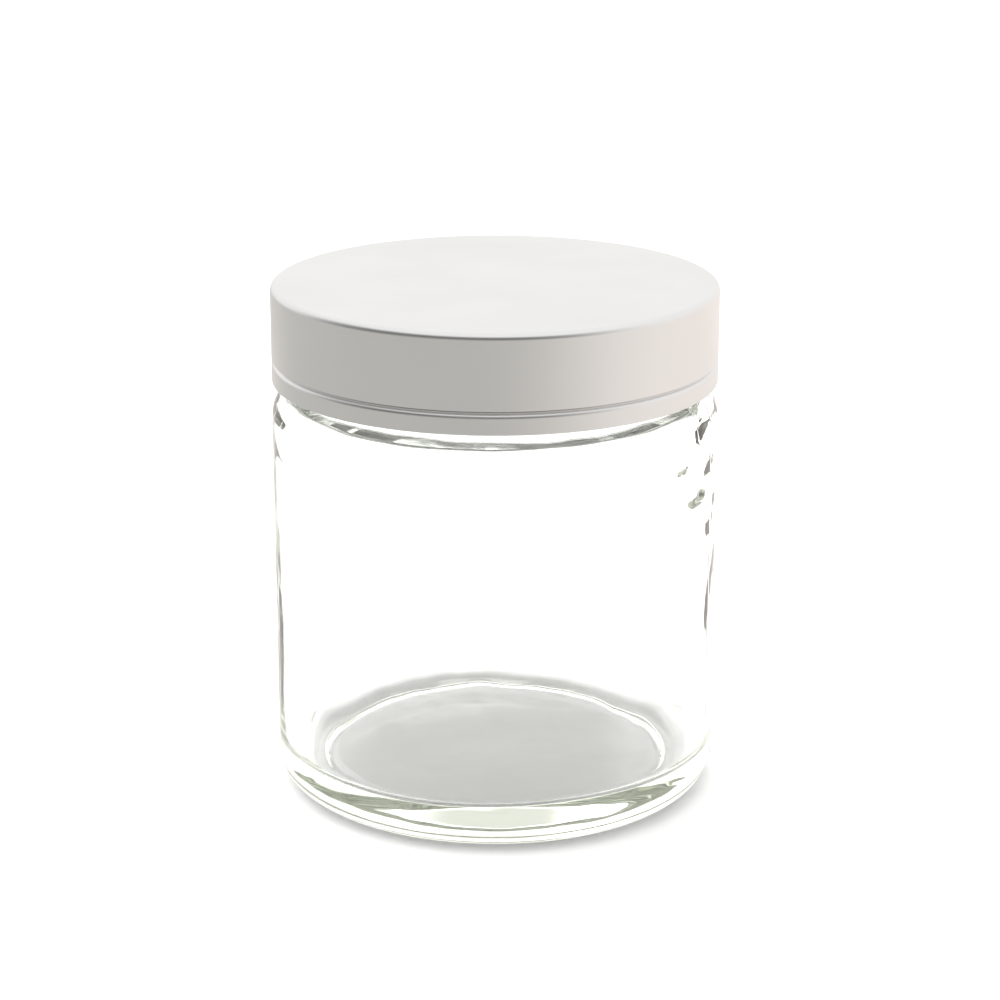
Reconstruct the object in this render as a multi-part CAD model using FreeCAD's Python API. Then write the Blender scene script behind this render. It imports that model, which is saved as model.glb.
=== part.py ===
import FreeCAD, Part
import math
import os

# Clear straight-sided glass candle jar with a low screw lid, in millimetres.
# The origin is the centre of the base on the surface the jar stands on, +Z is up.
# Four pieces: the glass jar, the lid's metal shell, its threaded inner cap and the sealing liner.

SMALLEST_EDGE = 0.001

# Overall sizes
TOTAL_HEIGHT = 85.8
BODY_RADIUS = 36.95
LID_RADIUS = 36.85

# Lid stack, from the top down; the glue gap is between the metal shell and the inner cap
SHELL_THICKNESS = 0.4
GLUE_GAP = 0.1
CAP_PANEL_THICKNESS = 1.3
LINER_THICKNESS = 1.1
SHELL_INSIDE_Z = TOTAL_HEIGHT - SHELL_THICKNESS
PANEL_TOP_Z = SHELL_INSIDE_Z - GLUE_GAP
LINER_TOP_Z = PANEL_TOP_Z - CAP_PANEL_THICKNESS
LAND_Z = LINER_TOP_Z - LINER_THICKNESS

# Glass neck finish: a 70 mm continuous thread, five turns to the inch
FINISH_HEIGHT = 13.7
NECK_RADIUS = 33.5
MOUTH_RADIUS = 30.7
NECK_ROOT_Z = LAND_Z - FINISH_HEIGHT
LAND_OUTER_EDGE = 1.0
LAND_INNER_EDGE = 0.8

# Glass body
WALL_THICKNESS = 3.25
INNER_RADIUS = BODY_RADIUS - WALL_THICKNESS
SHOULDER_RADIUS = 6.0
SHOULDER_INSET = BODY_RADIUS - NECK_RADIUS
SHOULDER_RISE = math.sqrt(SHOULDER_RADIUS**2 - (SHOULDER_RADIUS - SHOULDER_INSET)**2)
SHOULDER_Z = NECK_ROOT_Z - SHOULDER_RISE
INNER_SHOULDER_RADIUS = 2.4
INNER_LEDGE_Z = SHOULDER_Z + INNER_SHOULDER_RADIUS
BORE_LOWER_EDGE = 0.55

# Glass base
HEEL_RADIUS = 5.5
BEARING_WIDTH = 2.6
BEARING_INNER_RADIUS = BODY_RADIUS - HEEL_RADIUS - BEARING_WIDTH
PUSH_UP_STEP = 0.7
PUSH_UP_SLOPE = 1.2
PUSH_UP_EDGE = 0.5
PUSH_UP_HEIGHT = 1.1
FLOOR_EDGE_Z = 6.6
FLOOR_CROWN = 0.3
FLOOR_CORNER_RADIUS = 3.6

# Thread shared by the neck and the cap
THREAD_PITCH = 5.08
THREAD_DEPTH = 1.15
THREAD_FLANK_RUN = 0.8
THREAD_FLANK_CLEARANCE = 0.2
THREAD_RADIAL_CLEARANCE = 0.3
THREAD_ROOT_SINK = 0.4
THREAD_FADE_TURNS = 0.09
SECTIONS_PER_TURN = 24
NECK_RIDGE_CREST_HALF = 0.45
NECK_THREAD_LIFT = 4.2
NECK_THREAD_START_Z = NECK_ROOT_Z + NECK_THREAD_LIFT
NECK_THREAD_TURNS = 1.15
CAP_RIDGE_CREST_HALF = 0.3
CAP_THREAD_START_TURN = 0.35
CAP_THREAD_TURNS = 1.0

# Metal shell, with a rolled groove near its lower edge that locks it to the inner cap
SHELL_EDGE_RADIUS = 1.0
SHELL_LIFT = 0.6
SHELL_BOTTOM_Z = NECK_ROOT_Z + SHELL_LIFT
GROOVE_RISE = 3.2
GROOVE_Z = SHELL_BOTTOM_Z + GROOVE_RISE
GROOVE_DEPTH = 0.5
GROOVE_HALF_MOUTH = 0.55
GROOVE_HALF_FLOOR = 0.12
GROOVE_LIP_RADIUS = 0.12
GROOVE_FLOOR_RADIUS = 0.1
GROOVE_SPREAD = 0.45

# Inner cap
CAP_RADIUS = LID_RADIUS - SHELL_THICKNESS - GLUE_GAP
CAP_INNER_RADIUS = NECK_RADIUS + THREAD_DEPTH + THREAD_RADIAL_CLEARANCE
CAP_EDGE_RADIUS = 1.2
CAP_RECESS = 0.4
CAP_BOTTOM_Z = SHELL_BOTTOM_Z + CAP_RECESS
CAP_FOOT_RADIUS = 0.15
BEAD_HEIGHT = 0.6
BEAD_DEPTH = 0.7
BEAD_DROP = 0.15
BEAD_TOP_Z = LAND_Z - BEAD_DROP

# Liner
LINER_SIDE_CLEARANCE = 0.35
LINER_RADIUS = CAP_INNER_RADIUS - LINER_SIDE_CLEARANCE


def rounded_edges(corners):
    """Edges in the XZ plane through (radius, z, rounding) corners, with tangent arcs at the corners."""
    places = [FreeCAD.Vector(radius, 0, z) for radius, z, _ in corners]
    edges = []
    start = places[0]
    for index in range(1, len(corners) - 1):
        corner = places[index]
        rounding = corners[index][2]
        end = corner
        if rounding > 0:
            back = (places[index - 1] - corner).normalize()
            ahead = (places[index + 1] - corner).normalize()
            half_angle = back.getAngle(ahead) / 2
            reach = rounding / math.tan(half_angle)
            end = corner + back * reach
            resume = corner + ahead * reach
            bisector = (back + ahead).normalize()
            middle = corner + bisector * (rounding / math.sin(half_angle) - rounding)
        if not start.isEqual(end, SMALLEST_EDGE):
            edges.append(Part.makeLine(start, end))
        if rounding > 0:
            edges.append(Part.Arc(end, middle, resume).toShape())
            end = resume
        start = end
    if not start.isEqual(places[-1], SMALLEST_EDGE):
        edges.append(Part.makeLine(start, places[-1]))
    return edges


def dome_edge(crown_z, edge_radius, edge_z):
    """A shallow arc that crosses the axis level at crown_z and ends at edge_radius, edge_z."""
    sag = edge_z - crown_z
    arc_radius = (edge_radius**2 + sag**2) / (2 * sag)
    half_angle = math.asin(edge_radius / arc_radius) / 2
    middle_z = crown_z + arc_radius * (1 - math.cos(half_angle))
    middle = FreeCAD.Vector(arc_radius * math.sin(half_angle), 0, middle_z)
    crown = FreeCAD.Vector(0, 0, crown_z)
    return Part.Arc(crown, middle, FreeCAD.Vector(edge_radius, 0, edge_z)).toShape()


def revolve(edges):
    """A solid of revolution about Z from the edges of a closed outline."""
    wire = Part.Wire(Part.__sortEdges__(edges))
    return Part.Face(wire).revolve(FreeCAD.Vector(0, 0, 0), FreeCAD.Vector(0, 0, 1), 360)


def thread_ridge(root_radius, outward, crest_half, start_z, start_turn, turns):
    """A right-hand helical ridge that stands out of root_radius and fades in and out at its ends.

    outward is 1 for a ridge on a neck and -1 for a ridge inside a cap. start_z is the height of the
    helix at turn 0.
    """
    root_half = crest_half + THREAD_FLANK_RUN
    slope = THREAD_FLANK_RUN / THREAD_DEPTH
    sunk_half = root_half + THREAD_ROOT_SINK * slope
    steps = round(turns * SECTIONS_PER_TURN)
    sections = []
    for step in range(steps + 1):
        along = turns * step / steps
        fade = min(1, along / THREAD_FADE_TURNS, (turns - along) / THREAD_FADE_TURNS)
        drop = THREAD_DEPTH * (1 - fade)
        turn = start_turn + along
        middle_z = start_z + THREAD_PITCH * turn
        outline = [
            (-THREAD_ROOT_SINK, -sunk_half),
            (THREAD_DEPTH - drop, -crest_half),
            (THREAD_DEPTH - drop, crest_half),
            (-THREAD_ROOT_SINK, sunk_half),
        ]
        points = []
        for height, offset in outline:
            radius = root_radius + outward * height
            angle = 2 * math.pi * turn
            x = radius * math.cos(angle)
            y = radius * math.sin(angle)
            points.append(FreeCAD.Vector(x, y, middle_z + offset))
        sections.append(Part.makePolygon(points + points[:1]))
    return Part.makeLoft(sections, True, False)


def make_glass_jar():
    """The one-piece glass body, with its base, shoulder and threaded neck."""
    push_up_edge_radius = BEARING_INNER_RADIUS - PUSH_UP_SLOPE
    floor_edge_radius = INNER_RADIUS - FLOOR_CORNER_RADIUS
    shoulder_centre = FreeCAD.Vector(BODY_RADIUS - SHOULDER_RADIUS, 0, SHOULDER_Z)
    shoulder_middle_angle = math.asin(SHOULDER_RISE / SHOULDER_RADIUS) / 2
    shoulder_middle = shoulder_centre + FreeCAD.Vector(
        SHOULDER_RADIUS * math.cos(shoulder_middle_angle),
        0,
        SHOULDER_RADIUS * math.sin(shoulder_middle_angle),
    )
    shoulder_start = FreeCAD.Vector(BODY_RADIUS, 0, SHOULDER_Z)
    shoulder_end = FreeCAD.Vector(NECK_RADIUS, 0, NECK_ROOT_Z)
    edges = [dome_edge(PUSH_UP_HEIGHT, push_up_edge_radius, PUSH_UP_STEP)]
    edges += rounded_edges([
        (push_up_edge_radius, PUSH_UP_STEP, 0),
        (BEARING_INNER_RADIUS, 0, PUSH_UP_EDGE),
        (BODY_RADIUS, 0, HEEL_RADIUS),
        (BODY_RADIUS, SHOULDER_Z, 0),
    ])
    edges.append(Part.Arc(shoulder_start, shoulder_middle, shoulder_end).toShape())
    edges += rounded_edges([
        (NECK_RADIUS, NECK_ROOT_Z, 0),
        (NECK_RADIUS, LAND_Z, LAND_OUTER_EDGE),
        (MOUTH_RADIUS, LAND_Z, LAND_INNER_EDGE),
        (MOUTH_RADIUS, INNER_LEDGE_Z, BORE_LOWER_EDGE),
        (INNER_RADIUS, INNER_LEDGE_Z, INNER_SHOULDER_RADIUS),
        (INNER_RADIUS, FLOOR_EDGE_Z, FLOOR_CORNER_RADIUS),
        (floor_edge_radius, FLOOR_EDGE_Z, 0),
    ])
    floor_crown_z = FLOOR_EDGE_Z + FLOOR_CROWN
    floor_crown = FreeCAD.Vector(0, 0, floor_crown_z)
    push_up_crown = FreeCAD.Vector(0, 0, PUSH_UP_HEIGHT)
    edges.append(dome_edge(floor_crown_z, floor_edge_radius, FLOOR_EDGE_Z))
    edges.append(Part.makeLine(floor_crown, push_up_crown))
    ridge = thread_ridge(
        NECK_RADIUS, 1, NECK_RIDGE_CREST_HALF, NECK_THREAD_START_Z, 0, NECK_THREAD_TURNS
    )
    return revolve(edges).fuse(ridge)


def groove_corners(radius):
    """Corners of the rolled groove, from the bottom up, in a wall of the given outer radius.

    The groove spreads a little with the depth of the wall under the lid's outer surface, so that the
    metal keeps its thickness.
    """
    spread = (LID_RADIUS - radius) * GROOVE_SPREAD
    half_mouth = GROOVE_HALF_MOUTH + spread
    half_floor = GROOVE_HALF_FLOOR + spread
    return [
        (radius, GROOVE_Z - half_mouth, GROOVE_LIP_RADIUS),
        (radius - GROOVE_DEPTH, GROOVE_Z - half_floor, GROOVE_FLOOR_RADIUS),
        (radius - GROOVE_DEPTH, GROOVE_Z + half_floor, GROOVE_FLOOR_RADIUS),
        (radius, GROOVE_Z + half_mouth, GROOVE_LIP_RADIUS),
    ]


def make_lid_shell():
    """The thin metal cup that covers the cap's top and side."""
    inner_radius = LID_RADIUS - SHELL_THICKNESS
    edges = rounded_edges([
        (0, SHELL_INSIDE_Z, 0),
        (inner_radius, SHELL_INSIDE_Z, SHELL_EDGE_RADIUS - SHELL_THICKNESS),
        *reversed(groove_corners(inner_radius)),
        (inner_radius, SHELL_BOTTOM_Z, 0),
        (LID_RADIUS, SHELL_BOTTOM_Z, 0),
        *groove_corners(LID_RADIUS),
        (LID_RADIUS, TOTAL_HEIGHT, SHELL_EDGE_RADIUS),
        (0, TOTAL_HEIGHT, 0),
        (0, SHELL_INSIDE_Z, 0),
    ])
    return revolve(edges)


def make_inner_cap():
    """The threaded plastic cap: panel, skirt, liner bead and internal thread."""
    bead_bottom_z = BEAD_TOP_Z - BEAD_HEIGHT
    bead_radius = CAP_INNER_RADIUS - BEAD_DEPTH
    edges = rounded_edges([
        (0, LINER_TOP_Z, 0),
        (CAP_INNER_RADIUS, LINER_TOP_Z, 0),
        (CAP_INNER_RADIUS, BEAD_TOP_Z, 0),
        (bead_radius, BEAD_TOP_Z - BEAD_HEIGHT / 2, 0),
        (CAP_INNER_RADIUS, bead_bottom_z, 0),
        (CAP_INNER_RADIUS, CAP_BOTTOM_Z, 0),
        (CAP_RADIUS, CAP_BOTTOM_Z, CAP_FOOT_RADIUS),
        *groove_corners(CAP_RADIUS),
        (CAP_RADIUS, PANEL_TOP_Z, CAP_EDGE_RADIUS),
        (0, PANEL_TOP_Z, 0),
        (0, LINER_TOP_Z, 0),
    ])
    overlap_of_ridges = THREAD_DEPTH - THREAD_RADIAL_CLEARANCE
    slope = THREAD_FLANK_RUN / THREAD_DEPTH
    half_widths = NECK_RIDGE_CREST_HALF + CAP_RIDGE_CREST_HALF + overlap_of_ridges * slope
    cap_start_z = NECK_THREAD_START_Z - half_widths - THREAD_FLANK_CLEARANCE
    ridge = thread_ridge(
        CAP_INNER_RADIUS,
        -1,
        CAP_RIDGE_CREST_HALF,
        cap_start_z,
        CAP_THREAD_START_TURN,
        CAP_THREAD_TURNS,
    )
    return revolve(edges).fuse(ridge)


def make_liner():
    """The loose foam disc that seals on the rim of the glass."""
    centre = FreeCAD.Vector(0, 0, LAND_Z)
    return Part.makeCylinder(LINER_RADIUS, LINER_THICKNESS, centre)


pieces = {
    "glass_jar": make_glass_jar(),
    "lid_shell": make_lid_shell(),
    "inner_cap": make_inner_cap(),
    "liner": make_liner(),
}

os.makedirs("parts", exist_ok=True)
for name, shape in pieces.items():
    shape.exportStep("parts/" + name + ".step")
    box = shape.BoundBox
    print(name, "valid:", shape.isValid(), "solids:", len(shape.Solids), "mm3:", round(shape.Volume))
    print("    from z", round(box.ZMin, 2), "to", round(box.ZMax, 2))
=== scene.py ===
import math

import bmesh
import bpy
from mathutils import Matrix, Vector


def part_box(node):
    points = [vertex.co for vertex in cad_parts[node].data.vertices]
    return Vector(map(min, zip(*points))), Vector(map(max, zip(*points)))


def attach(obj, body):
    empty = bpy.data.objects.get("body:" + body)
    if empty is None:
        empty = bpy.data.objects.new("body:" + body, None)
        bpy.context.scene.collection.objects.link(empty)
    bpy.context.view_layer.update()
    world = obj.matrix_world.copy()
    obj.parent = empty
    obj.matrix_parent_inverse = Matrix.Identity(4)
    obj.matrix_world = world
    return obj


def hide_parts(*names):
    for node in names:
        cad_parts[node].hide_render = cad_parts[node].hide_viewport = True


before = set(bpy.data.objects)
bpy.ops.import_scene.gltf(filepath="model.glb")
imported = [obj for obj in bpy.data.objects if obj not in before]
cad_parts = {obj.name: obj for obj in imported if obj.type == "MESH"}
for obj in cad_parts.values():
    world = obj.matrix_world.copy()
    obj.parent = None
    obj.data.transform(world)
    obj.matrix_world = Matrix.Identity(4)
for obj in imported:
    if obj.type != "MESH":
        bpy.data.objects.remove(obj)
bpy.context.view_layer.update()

# Clear glass candle jar with a satin metal screw lid, in metres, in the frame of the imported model:
# the origin is the centre of the base and +Z is up. Angles round the jar are measured from +X
# towards +Y, so the front of the jar, which faces the camera, is at -90 degrees.

MM = 0.001

jar_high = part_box("glass_jar")[1]
shell_low, shell_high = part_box("lid_shell")
cap_low, cap_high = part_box("inner_cap")
liner_low, liner_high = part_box("liner")

# ---------------------------------------------------------------- sizes

BODY_RADIUS = jar_high[0]
LAND_Z = jar_high[2]
WALL = 3.25 * MM
INNER_RADIUS = BODY_RADIUS - WALL
NECK_RADIUS = 33.5 * MM
MOUTH_RADIUS = 30.7 * MM
NECK_ROOT_Z = LAND_Z - 13.7 * MM
SHOULDER_RADIUS = 6.0 * MM
BORE_LOW_Z = LAND_Z - 16.1 * MM
BORE_LOWER_EDGE = 0.8 * MM
INNER_SHOULDER_Z = LAND_Z - 17.5 * MM
INNER_SHOULDER_RADIUS = 2.0 * MM
INNER_WALL_TOP_Z = 58.0 * MM
HEEL_RADIUS = 5.5 * MM
BEARING_WIDTH = 2.6 * MM
PUSH_UP_STEP = 0.7 * MM
PUSH_UP_SLOPE = 1.2 * MM
PUSH_UP_FOOT = 0.12 * MM
PUSH_UP_HEIGHT = 1.1 * MM
FLOOR_Z = 6.6 * MM
FLOOR_CROWN = 0.3 * MM
FLOOR_CORNER_HEIGHT = 2.0 * MM
LAND_OUTER_EDGE = 1.0 * MM
LAND_INNER_EDGE = 0.8 * MM

THREAD_PITCH = 5.08 * MM
THREAD_DEPTH = 1.15 * MM
THREAD_FLANK_RUN = 0.8 * MM
THREAD_FLANK_CLEARANCE = 0.2 * MM
THREAD_RADIAL_CLEARANCE = 0.3 * MM
THREAD_FADE_TURNS = 0.09
NECK_THREAD_START_Z = NECK_ROOT_Z + 4.2 * MM
NECK_THREAD_TURNS = 1.15
NECK_RIDGE_CREST = 0.45 * MM
CAP_THREAD_START_TURN = 0.35
CAP_THREAD_TURNS = 1.0
CAP_RIDGE_CREST = 0.3 * MM
RIDGE_CREST_FLAT = 0.6
RIDGE_FLANK_SPREAD = 1.15

LID_RADIUS = shell_high[0]
SHELL_THICKNESS = 0.4 * MM
GLUE_GAP = 0.1 * MM
SHELL_EDGE_RADIUS = 1.0 * MM
SHELL_LIP_RADIUS = 0.16 * MM
GROOVE_Z = shell_low[2] + 3.2 * MM
GROOVE_DEPTH = 0.5 * MM
GROOVE_MOUTH_LOW = GROOVE_Z - 0.25 * MM
GROOVE_FLOOR_LOW = GROOVE_Z + 0.20 * MM
GROOVE_FLOOR_HIGH = GROOVE_Z + 0.30 * MM
GROOVE_MOUTH_HIGH = GROOVE_Z + 0.65 * MM
GROOVE_LOWER_LIP = 0.8 * MM
GROOVE_LIP_RADIUS = 0.12 * MM
GROOVE_FLOOR_RADIUS = 0.04 * MM
GROOVE_SPREAD = 0.45
CAP_RADIUS = LID_RADIUS - SHELL_THICKNESS - GLUE_GAP
CAP_INNER_RADIUS = NECK_RADIUS + THREAD_DEPTH + THREAD_RADIAL_CLEARANCE
CAP_EDGE_RADIUS = 1.2 * MM
CAP_FOOT_RADIUS = 0.15 * MM
BEAD_TOP_Z = LAND_Z - 0.15 * MM
BEAD_LOW_Z = BEAD_TOP_Z - 0.6 * MM
BEAD_DEPTH = 0.7 * MM
LINER_RADIUS = liner_high[0]
LINER_EDGE_RADIUS = 0.3 * MM
LINER_SEAT_GAP = 0.03 * MM

# How finely the outlines and the circles are divided
SHOULDER_SPACING = 0.8 * MM
SHOULDER_ARC_STEPS = 14
LID_SPACING = 1.5 * MM
LINE_MARGIN = 0.04 * MM
ON_AXIS = 0.001 * MM
JAR_SIDES = 300
SHELL_SIDES = 360
CAP_SIDES = 240
LINER_SIDES = 180


# ---------------------------------------------------------------- outlines

def line_points(start, end, count):
    """Points from start towards end, without the last one."""
    points = []
    for step in range(count):
        along = step / count
        points.append((start[0] + (end[0] - start[0]) * along, start[1] + (end[1] - start[1]) * along))
    return points


def arc_points(centre, radius, from_deg, to_deg, count):
    """Points round part of a circle in the (radius, z) plane, without the last one."""
    points = []
    for step in range(count):
        angle = math.radians(from_deg + (to_deg - from_deg) * step / count)
        points.append((centre[0] + radius * math.cos(angle), centre[1] + radius * math.sin(angle)))
    return points


def rounded_points(corners, spacing, arc_steps=6):
    """Outline points through (radius, z, rounding) corners, with tangent arcs at rounded corners."""
    places = [Vector((radius, z)) for radius, z, _ in corners]
    points = []
    start = places[0]

    def add_line(end):
        length = (end - start).length
        if length < 2 * LINE_MARGIN:
            points.append(tuple(start))
            return
        margin = (end - start) * (LINE_MARGIN / length)
        points.append(tuple(start))
        steps = max(1, math.ceil(length / spacing))
        points.extend(line_points(start + margin, end - margin, steps))
        points.append(tuple(end - margin))

    for index in range(1, len(corners) - 1):
        corner = places[index]
        rounding = corners[index][2]
        if rounding == 0:
            add_line(corner)
            start = corner
            continue
        back = (places[index - 1] - corner).normalized()
        ahead = (places[index + 1] - corner).normalized()
        half_angle = back.angle(ahead) / 2
        reach = rounding / math.tan(half_angle)
        centre = corner + (back + ahead).normalized() * (rounding / math.sin(half_angle))
        arc_start = corner + back * reach
        add_line(arc_start)
        from_centre = arc_start - centre
        turn = math.pi - 2 * half_angle
        if back.x * ahead.y - back.y * ahead.x > 0:
            turn = -turn
        for step in range(arc_steps):
            angle = turn * step / arc_steps
            x = from_centre.x * math.cos(angle) - from_centre.y * math.sin(angle)
            y = from_centre.x * math.sin(angle) + from_centre.y * math.cos(angle)
            points.append((centre.x + x, centre.y + y))
        start = corner + ahead * reach
    add_line(places[-1])
    points.append(tuple(places[-1]))
    return points


def smooth_step(value, low, high):
    """0 below low, 1 above high, and a smooth ramp between."""
    t = min(1.0, max(0.0, (value - low) / (high - low)))
    return t * t * (3 - 2 * t)


def bump_at(value, middle, width):
    """A bell that is 1 at the middle and fades over width."""
    return math.exp(-((value - middle) / width) ** 2)


def angle_between(angle, other):
    """The signed difference of two angles, in the range -pi to pi."""
    return math.atan2(math.sin(angle - other), math.cos(angle - other))


def lathe(name, point_count, angles, shape):
    """A closed mesh turned about Z.

    shape(index, angle) gives the radius and height of outline point index at that angle. The first
    and last outline points may lie on the axis, where they become one vertex each.
    """
    mesh = bmesh.new()
    rings = []
    for index in range(point_count):
        radius, height = shape(index, 0)
        if radius < ON_AXIS:
            rings.append([mesh.verts.new((0, 0, height))])
            continue
        ring = []
        for angle in angles:
            r, z = shape(index, angle)
            ring.append(mesh.verts.new((r * math.cos(angle), r * math.sin(angle), z)))
        rings.append(ring)
    count = len(angles)
    closed = len(rings[0]) > 1
    pairs = list(zip(rings, rings[1:]))
    if closed:
        pairs.append((rings[-1], rings[0]))
    for ring, following in pairs:
        for i in range(count):
            j = (i + 1) % count
            if len(ring) == 1:
                mesh.faces.new((ring[0], following[j], following[i]))
            elif len(following) == 1:
                mesh.faces.new((ring[i], ring[j], following[0]))
            else:
                mesh.faces.new((ring[i], ring[j], following[j], following[i]))
    bmesh.ops.recalc_face_normals(mesh, faces=mesh.faces)
    data = bpy.data.meshes.new(name)
    mesh.to_mesh(data)
    mesh.free()
    data.polygons.foreach_set("use_smooth", [True] * len(data.polygons))
    piece = bpy.data.objects.new(name, data)
    bpy.context.scene.collection.objects.link(piece)
    return piece


def even_angles(count):
    """Angles spread evenly round the circle, from 0."""
    return [2 * math.pi * i / count for i in range(count)]


def thread_height(z, angle, start_z, start_turn, turns, crest_half):
    """How far a helical ridge stands out at height z and an angle, with rounded crest and roots."""
    tallest = 0.0
    base_turn = angle / (2 * math.pi)
    # The ridge starts and ends at any angle, so it can pass this one on more than one lap
    for lap in range(-1, 3):
        turn = base_turn + lap
        along = turn - start_turn
        if along <= 0 or along >= turns:
            continue
        fade = min(1.0, along / THREAD_FADE_TURNS, (turns - along) / THREAD_FADE_TURNS)
        middle = start_z + THREAD_PITCH * turn
        offset = abs(z - middle)
        crest_end = crest_half * RIDGE_CREST_FLAT
        root = crest_half + THREAD_FLANK_RUN * RIDGE_FLANK_SPREAD
        ridge = 1 - smooth_step(offset, crest_end, root)
        tallest = max(tallest, THREAD_DEPTH * smooth_step(fade, 0, 1) * ridge)
    return tallest


# ---------------------------------------------------------------- glass jar

SEAM_ANGLES = (math.radians(-8), math.radians(172))
SEAM_HEIGHT = 0.05 * MM
SEAM_WIDTH = 0.22 * MM
SEAM_STEP = 0.09 * MM
SEAM_STEPS = 6

# Angles round the base in degrees, with the width of the floor's rounded corner there in millimetres,
# where the glass ran unevenly
FLOOR_CORNER_WIDTHS = [
    (-180, 2.4), (-150, 3.4), (-115, 2.8), (-75, 3.7), (-42, 2.6), (-15, 3.0),
    (23, 5.6), (55, 3.6), (92, 0.9), (120, 2.2), (146, 1.4), (180, 2.4),
]


def floor_corner_width(angle):
    """Width of the rounded corner between wall and floor at an angle."""
    degrees = math.degrees(math.atan2(math.sin(angle), math.cos(angle)))
    for (low, width), (high, next_width) in zip(FLOOR_CORNER_WIDTHS, FLOOR_CORNER_WIDTHS[1:]):
        if low <= degrees <= high:
            return (width + (next_width - width) * smooth_step(degrees, low, high)) * MM
    return FLOOR_CORNER_WIDTHS[0][1] * MM


# Patches of short ripples in the wall: angle, half width, middle height and half height
RIGHT_PATCH = (math.radians(-26), 0.26, 55 * MM, 10 * MM)
LEFT_PATCH = (math.radians(196), 0.18, 61 * MM, 5 * MM)


def patch_strength(patch, angle, z):
    """1 in the middle of a patch, fading to nothing round it."""
    middle, half_width, height, half_height = patch
    return bump_at(angle_between(angle, middle), 0, half_width) * bump_at(z, height, half_height)


def wall_wave(angle, z):
    """How far the inside of the wall strays outwards or inwards, as moulded glass does.

    Each sine has its height in millimetres in front. Inside it are the number of waves round the
    jar, the radians for each metre of height, and a phase that keeps the waves from lining up.
    """
    wave = 0.10 * math.sin(2 * angle + 0.6)
    wave += 0.07 * math.sin(5 * angle + 55 * z + 1.1)
    wave += 0.05 * math.sin(9 * angle - 90 * z + 2.0) * math.sin(70 * z + angle)
    wave += 0.03 * math.sin(17 * angle + 40 * z)
    right = math.sin(1150 * z + 9 * angle) + 0.7 * math.sin(600 * z - 14 * angle)
    wave += 0.24 * patch_strength(RIGHT_PATCH, angle, z) * right
    left = math.sin(1000 * z + 7 * angle)
    wave += 0.08 * patch_strength(LEFT_PATCH, angle, z) * left
    return wave * MM


def floor_wave(r, angle):
    """Low swells in the floor of the jar, in millimetres, with radians for each metre of x and y."""
    x = r * math.cos(angle)
    y = r * math.sin(angle)
    swell = 0.09 * math.sin(150 * x + 60 * y + 0.8)
    swell += 0.06 * math.sin(-90 * x + 190 * y + 2.1)
    swell += 0.02 * math.sin(330 * x + 120 * y)
    return swell * MM


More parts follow.
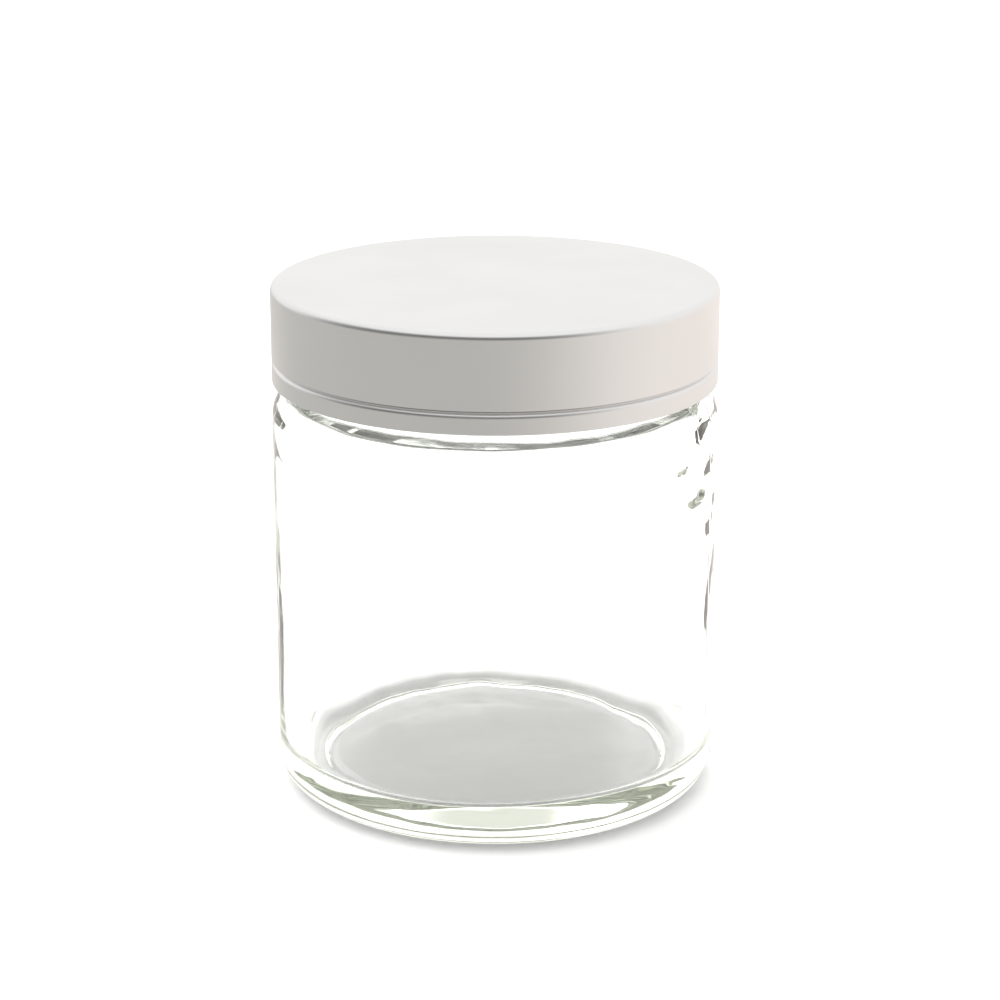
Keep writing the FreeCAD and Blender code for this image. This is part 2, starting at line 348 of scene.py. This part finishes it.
def make_glass_jar():
    """The jar: an outline of named zones, which shape() makes uneven as moulded glass is."""
    bearing_outer = BODY_RADIUS - HEEL_RADIUS
    bearing_inner = bearing_outer - BEARING_WIDTH
    push_up_edge = bearing_inner - PUSH_UP_SLOPE
    shoulder_inset = BODY_RADIUS - NECK_RADIUS
    rise = math.sqrt(SHOULDER_RADIUS**2 - (SHOULDER_RADIUS - shoulder_inset)**2)
    shoulder_z = NECK_ROOT_Z - rise
    shoulder_end = math.degrees(math.asin(rise / SHOULDER_RADIUS))
    outline = []
    zones = []

    def add(zone, points):
        outline.extend(points)
        zones.extend([zone] * len(points))

    add("push_up", [(0, PUSH_UP_HEIGHT)])
    push_up_rings = 22
    for step in range(1, push_up_rings):
        along = step / push_up_rings
        height = PUSH_UP_HEIGHT - (PUSH_UP_HEIGHT - PUSH_UP_STEP) * along**2
        add("push_up", [(push_up_edge * along, height)])
    add("push_up", line_points((push_up_edge, PUSH_UP_STEP), (bearing_inner, PUSH_UP_FOOT), count=4))
    add("bearing", line_points((bearing_inner, 0.0), (bearing_outer, 0.0), count=6))
    add("heel", arc_points((bearing_outer, HEEL_RADIUS), HEEL_RADIUS, -90, 0, count=18))
    add("wall", line_points((BODY_RADIUS, HEEL_RADIUS), (BODY_RADIUS, shoulder_z), count=40))
    shoulder_centre = (BODY_RADIUS - SHOULDER_RADIUS, shoulder_z)
    add("shoulder", arc_points(shoulder_centre, SHOULDER_RADIUS, 0, shoulder_end, count=16))
    neck_top = LAND_Z - LAND_OUTER_EDGE
    land_outer = NECK_RADIUS - LAND_OUTER_EDGE
    land_inner = MOUTH_RADIUS + LAND_INNER_EDGE
    bore_top = LAND_Z - LAND_INNER_EDGE
    add("neck", line_points((NECK_RADIUS, NECK_ROOT_Z), (NECK_RADIUS, neck_top), count=42))
    add("land", arc_points((land_outer, neck_top), LAND_OUTER_EDGE, 0, 90, count=8))
    add("land", line_points((land_outer, LAND_Z), (land_inner, LAND_Z), count=4))
    add("land", arc_points((land_inner, bore_top), LAND_INNER_EDGE, 90, 180, count=6))
    inner_shoulder = rounded_points([
        (MOUTH_RADIUS, bore_top, 0),
        (MOUTH_RADIUS, BORE_LOW_Z, BORE_LOWER_EDGE),
        (INNER_RADIUS, INNER_SHOULDER_Z, INNER_SHOULDER_RADIUS),
        (INNER_RADIUS, INNER_WALL_TOP_Z, 0),
    ], SHOULDER_SPACING, SHOULDER_ARC_STEPS)
    add("inner_shoulder", inner_shoulder[:-1])
    corner_top = FLOOR_Z + FLOOR_CORNER_HEIGHT
    add("inner_wall", line_points((INNER_RADIUS, INNER_WALL_TOP_Z), (INNER_RADIUS, corner_top), count=70))
    # A corner point holds its angle in degrees, and a floor point its share of the floor's radius
    corner_steps = 14
    add("corner", [(90 * step / corner_steps, FLOOR_Z) for step in range(corner_steps)])
    floor_rings = 26
    add("floor", [(1 - step / floor_rings, FLOOR_Z) for step in range(floor_rings)])
    add("floor", [(0, FLOOR_Z + FLOOR_CROWN + floor_wave(0, 0))])

    def shape(index, angle):
        zone = zones[index]
        r, z = outline[index]
        if zone in ("wall", "heel", "shoulder"):
            seam = max(bump_at(angle_between(angle, a) * BODY_RADIUS, 0, SEAM_WIDTH) for a in SEAM_ANGLES)
            return r - SEAM_HEIGHT * (1 - seam), z
        if zone == "neck":
            ridge = thread_height(z, angle, NECK_THREAD_START_Z, 0, NECK_THREAD_TURNS, NECK_RIDGE_CREST)
            return r + ridge, z
        if zone == "inner_shoulder":
            return r + wall_wave(angle, z) * smooth_step(r, MOUTH_RADIUS, INNER_RADIUS), z
        if zone == "inner_wall":
            return r + wall_wave(angle, z), z
        width = floor_corner_width(angle)
        edge = INNER_RADIUS - width
        if zone == "corner":
            corner_angle = math.radians(r)
            wave = wall_wave(angle, z) * math.cos(corner_angle)
            height = FLOOR_Z + FLOOR_CORNER_HEIGHT * (1 - math.sin(corner_angle))
            swell = floor_wave(edge, angle) * math.sin(corner_angle)
            return edge + width * math.cos(corner_angle) + wave, height + swell
        if zone == "floor":
            radius = edge * r
            crown = FLOOR_CROWN * (1 - r**2)
            return radius, FLOOR_Z + crown + floor_wave(radius, angle)
        return r, z

    angles = even_angles(JAR_SIDES)
    for seam_angle in SEAM_ANGLES:
        for step in range(-SEAM_STEPS, SEAM_STEPS + 1):
            angles.append((seam_angle + step * SEAM_STEP / BODY_RADIUS) % (2 * math.pi))
    angles = sorted(set(angles))
    return lathe("jar_glass", len(outline), angles, shape)


# ---------------------------------------------------------------- lid

def groove_corners(radius):
    """Corners of the rolled groove, from the bottom up, in a wall of the given outer radius."""
    spread = (LID_RADIUS - radius) * GROOVE_SPREAD
    lower_lip = GROOVE_LOWER_LIP - (LID_RADIUS - radius)
    return [
        (radius, GROOVE_MOUTH_LOW - spread, lower_lip),
        (radius - GROOVE_DEPTH, GROOVE_FLOOR_LOW - spread, GROOVE_FLOOR_RADIUS),
        (radius - GROOVE_DEPTH, GROOVE_FLOOR_HIGH + spread, GROOVE_FLOOR_RADIUS),
        (radius, GROOVE_MOUTH_HIGH + spread, GROOVE_LIP_RADIUS),
    ]


def make_shell():
    """The thin metal overshell: rounded top edge, straight side, rolled groove near its lower edge."""
    top = shell_high[2]
    low = shell_low[2]
    inner = LID_RADIUS - SHELL_THICKNESS
    outline = rounded_points([
        (0, top, 0),
        (LID_RADIUS, top, SHELL_EDGE_RADIUS),
        *reversed(groove_corners(LID_RADIUS)),
        (LID_RADIUS, low, SHELL_LIP_RADIUS),
        (inner, low, SHELL_LIP_RADIUS),
        *groove_corners(inner),
        (inner, top - SHELL_THICKNESS, SHELL_EDGE_RADIUS - SHELL_THICKNESS),
        (0, top - SHELL_THICKNESS, 0),
    ], LID_SPACING)
    return lathe("lid_metal_shell", len(outline), even_angles(SHELL_SIDES), lambda i, a: outline[i])


def make_cap():
    """The threaded plastic cap with its liner bead and internal thread."""
    top = cap_high[2]
    low = cap_low[2]
    panel_low = liner_high[2]
    inner = CAP_INNER_RADIUS
    outline = rounded_points([
        (0, top, 0),
        (CAP_RADIUS, top, CAP_EDGE_RADIUS),
        *reversed(groove_corners(CAP_RADIUS)),
        (CAP_RADIUS, low, CAP_FOOT_RADIUS),
        (inner + CAP_FOOT_RADIUS, low, 0),
    ], LID_SPACING)
    outline += line_points((inner, low + CAP_FOOT_RADIUS), (inner, BEAD_LOW_Z), count=56)
    for r, z in line_points((inner, BEAD_LOW_Z), (inner, BEAD_TOP_Z), count=8):
        along = (z - BEAD_LOW_Z) / (BEAD_TOP_Z - BEAD_LOW_Z)
        outline.append((r - BEAD_DEPTH * math.sin(math.pi * along), z))
    outline += line_points((inner, BEAD_TOP_Z), (inner, panel_low), count=4)
    outline += line_points((inner, panel_low), (0, panel_low), count=14)
    outline.append((0, panel_low))
    flank = THREAD_FLANK_RUN * (THREAD_DEPTH - THREAD_RADIAL_CLEARANCE) / THREAD_DEPTH
    half_widths = NECK_RIDGE_CREST + CAP_RIDGE_CREST + flank
    start_z = NECK_THREAD_START_Z - half_widths - THREAD_FLANK_CLEARANCE

    def shape(index, angle):
        r, z = outline[index]
        if abs(r - inner) < ON_AXIS and low < z < BEAD_LOW_Z:
            r -= thread_height(z, angle, start_z, CAP_THREAD_START_TURN, CAP_THREAD_TURNS, CAP_RIDGE_CREST)
        return r, z

    return lathe("lid_threaded_cap", len(outline), even_angles(CAP_SIDES), shape)


def make_liner():
    """The foam disc, with soft edges. It lies a hair above the glass, so that the faces don't coincide."""
    low = liner_low[2] + LINER_SEAT_GAP
    high = liner_high[2]
    soft = LINER_EDGE_RADIUS
    edge = LINER_RADIUS - soft
    first_ring = LINER_RADIUS / 20
    outline = [(0, low)]
    outline += line_points((first_ring, low), (edge, low), count=60)
    outline += arc_points((edge, low + soft), soft, -90, 0, count=4)
    outline += arc_points((edge, high - soft), soft, 0, 90, count=4)
    outline += line_points((edge, high), (0, high), count=12)
    outline.append((0, high))
    return lathe("lid_foam_liner", len(outline), even_angles(LINER_SIDES), lambda i, a: outline[i])


# ---------------------------------------------------------------- materials

# A Mix node keeps sockets for every kind of value, and these are the places of its colour ones
MIX_COLOUR_SOCKETS = (6, 7)
MIX_RESULT_SOCKET = 2


class Nodes:
    """A material with short calls for making and linking its nodes."""

    def __init__(self, name):
        self.material = bpy.data.materials.new(name)
        self.material.use_nodes = True
        self.tree = self.material.node_tree
        self.shader = self.tree.nodes["Principled BSDF"]
        self.output = self.tree.nodes["Material Output"]

    def add(self, kind, inputs=None, **settings):
        node = self.tree.nodes.new(kind)
        for key, value in settings.items():
            setattr(node, key, value)
        for key, value in (inputs or {}).items():
            if isinstance(value, bpy.types.NodeSocket):
                self.tree.links.new(value, node.inputs[key])
            else:
                node.inputs[key].default_value = value
        return node

    def link(self, source, target):
        self.tree.links.new(source, target)

    def place(self):
        return self.add("ShaderNodeTexCoord").outputs["Object"]

    def noise(self, scale, detail):
        inputs = {"Vector": self.place(), "Scale": scale, "Detail": detail}
        return self.add("ShaderNodeTexNoise", inputs).outputs["Fac"]

    def ramp(self, value, low, high, out_low, out_high):
        inputs = {"Value": value, "From Min": low, "From Max": high, "To Min": out_low, "To Max": out_high}
        return self.add("ShaderNodeMapRange", inputs).outputs["Result"]

    def mix(self, factor, low, high):
        node = self.add("ShaderNodeMix", data_type="RGBA")
        self.link(factor, node.inputs["Factor"])
        for socket, colour in zip(MIX_COLOUR_SOCKETS, (low, high)):
            node.inputs[socket].default_value = (*colour, 1)
        return node.outputs[MIX_RESULT_SOCKET]

    def bump(self, height, distance, strength=1.0):
        inputs = {"Height": height, "Distance": distance, "Strength": strength}
        return self.add("ShaderNodeBump", inputs).outputs["Normal"]


def glass_material():
    """Soda-lime glass: a faint green where it is thick, with slight ripples and a few dull spots."""
    n = Nodes("clear_glass")
    n.shader.inputs["Base Color"].default_value = (1, 1, 1, 1)
    n.shader.inputs["Transmission Weight"].default_value = 1.0
    n.shader.inputs["IOR"].default_value = 1.515
    ripple = n.noise(scale=55, detail=2.0)
    n.link(n.bump(ripple, distance=0.25 * MM), n.shader.inputs["Normal"])
    marks = n.noise(scale=240, detail=4.0)
    dullness = n.ramp(marks, low=0.55, high=0.8, out_low=0.0, out_high=0.05)
    n.link(dullness, n.shader.inputs["Roughness"])
    absorb = n.add("ShaderNodeVolumeAbsorption")
    absorb.inputs["Color"].default_value = (0.65, 0.71, 0.53, 1)
    absorb.inputs["Density"].default_value = 7.0
    n.link(absorb.outputs["Volume"], n.output.inputs["Volume"])
    return n.material


def metal_material():
    """Satin anodised aluminium with a very fine grain and faint handling marks."""
    n = Nodes("satin_aluminium")
    n.shader.inputs["Metallic"].default_value = 1.0
    clouds = n.noise(scale=22, detail=3.0)
    n.link(n.mix(clouds, (0.66, 0.66, 0.655), (0.70, 0.70, 0.70)), n.shader.inputs["Base Color"])
    marks = n.noise(scale=60, detail=4.0)
    satin = n.ramp(marks, low=0.35, high=0.7, out_low=0.30, out_high=0.36)
    n.link(satin, n.shader.inputs["Roughness"])
    grain = n.noise(scale=5200, detail=2.0)
    n.link(n.bump(grain, distance=0.006 * MM, strength=0.6), n.shader.inputs["Normal"])
    return n.material


def cap_material():
    """White moulded polypropylene."""
    n = Nodes("white_polypropylene")
    tone = n.noise(scale=90, detail=3.0)
    n.link(n.mix(tone, (0.84, 0.84, 0.82), (0.90, 0.90, 0.885)), n.shader.inputs["Base Color"])
    flow = n.noise(scale=400, detail=3.0)
    sheen = n.ramp(flow, low=0.3, high=0.7, out_low=0.36, out_high=0.46)
    n.link(sheen, n.shader.inputs["Roughness"])
    texture = n.noise(scale=1800, detail=2.0)
    n.link(n.bump(texture, distance=0.02 * MM, strength=0.5), n.shader.inputs["Normal"])
    return n.material


def liner_material():
    """White closed-cell foam."""
    n = Nodes("foam_liner")
    tone = n.noise(scale=160, detail=3.0)
    n.link(n.mix(tone, (0.80, 0.80, 0.78), (0.88, 0.88, 0.865)), n.shader.inputs["Base Color"])
    cells = n.add("ShaderNodeTexVoronoi", {"Vector": n.place(), "Scale": 2600}).outputs["Distance"]
    matt = n.ramp(cells, low=0.0, high=0.6, out_low=0.55, out_high=0.75)
    n.link(matt, n.shader.inputs["Roughness"])
    n.link(n.bump(cells, distance=0.06 * MM, strength=0.7), n.shader.inputs["Normal"])
    return n.material


# ---------------------------------------------------------------- pieces

def finish_piece(piece, material, body, node):
    """Gives a piece its material, hides the CAD node that it stands for, and keeps its place in the frame
    under its body.
    """
    piece.data.materials.append(material)
    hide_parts(node)
    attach(piece, body)


finish_piece(make_glass_jar(), glass_material(), "jar", "glass_jar")
finish_piece(make_shell(), metal_material(), "lid", "lid_shell")
finish_piece(make_cap(), cap_material(), "lid", "inner_cap")
finish_piece(make_liner(), liner_material(), "liner", "liner")


# ---------------------------------------------------------------- studio

# Colours are linear. Directions are an azimuth and an elevation in degrees. A spread is the range, in
# the cosine of the angle from a direction, over which one colour turns into another.

# What the studio's sides and top look like in a mirror-like reflection
DIM_BELOW_AZIMUTH = -150
DIM_BELOW_SPREAD = (-0.9, 0.6)
DIM_BELOW = (0.70, 0.69, 0.655)
BRIGHT_BELOW = (1.20, 1.12, 1.07)
DIM_ABOVE_AZIMUTH = -115
DIM_ABOVE_SPREAD = (-0.3, 0.7)
DIM_ABOVE = (0.19, 0.19, 0.186)
BRIGHT_ABOVE = (1.21, 1.20, 1.19)
HORIZON_SPREAD = (-0.04, 0.12)
OVERHEAD_SPREAD = (0.6, 0.85)
OVERHEAD = (1.25, 1.25, 1.25)

# The light itself: a bright room, dimmer in front, with a greyer panel behind the jar and a soft key
# light higher up, behind it on the left
DIM_ROOM_AZIMUTH = -90
DIM_ROOM_SPREAD = (-0.4, 0.9)
DIM_ROOM = (1.05, 1.05, 1.04)
ROOM = (1.62, 1.62, 1.61)
BACK_AZIMUTH = 90
BACK_ELEVATION = 28
BACK_SPREAD = (0.96, 0.992)
BACK = (0.98, 0.98, 0.95)
KEY_AZIMUTH = 140
KEY_ELEVATION = 55
KEY_SPREAD = (0.55, 0.9)
KEY = (2.8, 2.8, 2.8)

# The studio floor lies a hair below the jar's bearing ring, so that their faces don't coincide
FLOOR_RADIUS = 4.0
FLOOR_SIDES = 96
FLOOR_GAP = 0.02 * MM

CAMERA_PLACE = (0, -0.4585, 0.1901)
CAMERA_DOWN_DEG = 17.2
CAMERA_SENSOR = 36
CAMERA_LENS = 103.0
CAMERA_SHIFT = 0.005
CAMERA_NEAR = 0.02

# Light crosses the thick glass many times, so it needs more bounces than usual
TRANSPARENT_BOUNCES = 16
MOST_BOUNCES = 48
TRANSMISSION_BOUNCES = 48
GLOSSY_BOUNCES = 40


def make_floor():
    """A plain pale floor, which isn't seen in reflections, because the studio's own colours are."""
    mesh = bmesh.new()
    bmesh.ops.create_circle(mesh, cap_ends=True, segments=FLOOR_SIDES, radius=FLOOR_RADIUS)
    data = bpy.data.meshes.new("studio_floor")
    mesh.to_mesh(data)
    mesh.free()
    floor = bpy.data.objects.new("studio_floor", data)
    bpy.context.scene.collection.objects.link(floor)
    n = Nodes("studio_floor")
    n.shader.inputs["Base Color"].default_value = (0.95, 0.95, 0.95, 1)
    n.shader.inputs["Roughness"].default_value = 0.9
    n.shader.inputs["Specular IOR Level"].default_value = 0.1
    data.materials.append(n.material)
    floor.location.z = -FLOOR_GAP
    floor.visible_glossy = False


def make_world():
    """A plain bright studio, where mirror-like reflections see other colours than the light's own."""
    world = bpy.data.worlds.new("studio")
    bpy.context.scene.world = world
    world.use_nodes = True
    # Sampling the world as a light can't tell the two kinds of ray apart
    world.cycles.sampling_method = "NONE"
    nodes = world.node_tree.nodes
    links = world.node_tree.links
    place = nodes.new("ShaderNodeTexCoord").outputs["Generated"]
    split = nodes.new("ShaderNodeSeparateXYZ")
    links.new(place, split.inputs["Vector"])
    height = split.outputs["Z"]

    def ramp(value, spread):
        node = nodes.new("ShaderNodeMapRange")
        node.interpolation_type = "SMOOTHSTEP"
        links.new(value, node.inputs["Value"])
        node.inputs["From Min"].default_value, node.inputs["From Max"].default_value = spread
        return node.outputs["Result"]

    def mix(factor, low, high):
        node = nodes.new("ShaderNodeMix")
        node.data_type = "RGBA"
        links.new(factor, node.inputs["Factor"])
        for socket, value in zip(MIX_COLOUR_SOCKETS, (low, high)):
            if isinstance(value, bpy.types.NodeSocket):
                links.new(value, node.inputs[socket])
            else:
                node.inputs[socket].default_value = (*value, 1)
        return node.outputs[MIX_RESULT_SOCKET]

    def towards(azimuth_deg, elevation_deg=0):
        node = nodes.new("ShaderNodeVectorMath")
        node.operation = "DOT_PRODUCT"
        links.new(place, node.inputs[0])
        azimuth = math.radians(azimuth_deg)
        elevation = math.radians(elevation_deg)
        flat = math.cos(elevation)
        direction = (flat * math.cos(azimuth), flat * math.sin(azimuth), math.sin(elevation))
        node.inputs[1].default_value = direction
        return node.outputs["Value"]

    low_sides = mix(ramp(towards(DIM_BELOW_AZIMUTH), DIM_BELOW_SPREAD), BRIGHT_BELOW, DIM_BELOW)
    high_sides = mix(ramp(towards(DIM_ABOVE_AZIMUTH), DIM_ABOVE_SPREAD), BRIGHT_ABOVE, DIM_ABOVE)
    sides = mix(ramp(height, HORIZON_SPREAD), low_sides, high_sides)
    reflected = mix(ramp(height, OVERHEAD_SPREAD), sides, OVERHEAD)

    room = mix(ramp(towards(DIM_ROOM_AZIMUTH), DIM_ROOM_SPREAD), ROOM, DIM_ROOM)
    keyed = mix(ramp(towards(KEY_AZIMUTH, KEY_ELEVATION), KEY_SPREAD), room, KEY)
    lit = mix(ramp(towards(BACK_AZIMUTH, BACK_ELEVATION), BACK_SPREAD), keyed, BACK)

    rays = nodes.new("ShaderNodeLightPath").outputs
    mirror = nodes.new("ShaderNodeMath")
    mirror.operation = "MULTIPLY"
    links.new(rays["Is Reflection Ray"], mirror.inputs[0])
    links.new(rays["Is Glossy Ray"], mirror.inputs[1])
    links.new(mix(mirror.outputs["Value"], lit, reflected), nodes["Background"].inputs["Color"])


def make_camera():
    """The camera looks down at the jar, and its frame is shifted a little to the right."""
    camera = bpy.data.objects.new("camera", bpy.data.cameras.new("camera"))
    bpy.context.scene.collection.objects.link(camera)
    camera.location = CAMERA_PLACE
    camera.rotation_euler = (math.radians(90 - CAMERA_DOWN_DEG), 0, 0)
    camera.data.sensor_width = CAMERA_SENSOR
    camera.data.lens = CAMERA_LENS
    camera.data.shift_x = CAMERA_SHIFT
    camera.data.clip_start = CAMERA_NEAR
    bpy.context.scene.camera = camera


make_floor()
make_world()
make_camera()
bpy.context.scene.view_settings.view_transform = "Standard"
bpy.context.scene.cycles.transparent_max_bounces = TRANSPARENT_BOUNCES
bpy.context.scene.cycles.max_bounces = MOST_BOUNCES
bpy.context.scene.cycles.transmission_bounces = TRANSMISSION_BOUNCES
bpy.context.scene.cycles.glossy_bounces = GLOSSY_BOUNCES
